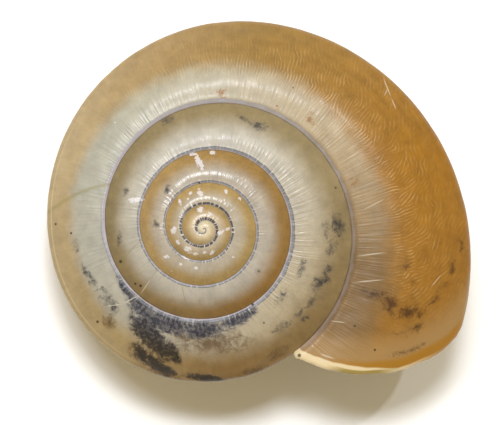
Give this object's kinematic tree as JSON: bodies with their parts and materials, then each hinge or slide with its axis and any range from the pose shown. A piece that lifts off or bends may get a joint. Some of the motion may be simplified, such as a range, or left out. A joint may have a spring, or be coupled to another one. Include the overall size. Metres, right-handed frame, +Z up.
{
  "type": "land snail shell",
  "caption": "Low, right-handed coiled snail shell, cream and tan with dark mottling, blunt keel, rounded base and an oblique open aperture.",
  "frame": {"origin": "centre of the footprint, on the surface the shell rests on", "axes": "+Z up, with the spire up; -Y the way the aperture opens; +X the side of the outer lip"},
  "size_m": [0.0168, 0.0144, 0.0082],
  "materials": {
    "shell": "glossy"
  },
  "bodies": {
    "root": {"shell": "shell"}
  },
  "joints": []
}
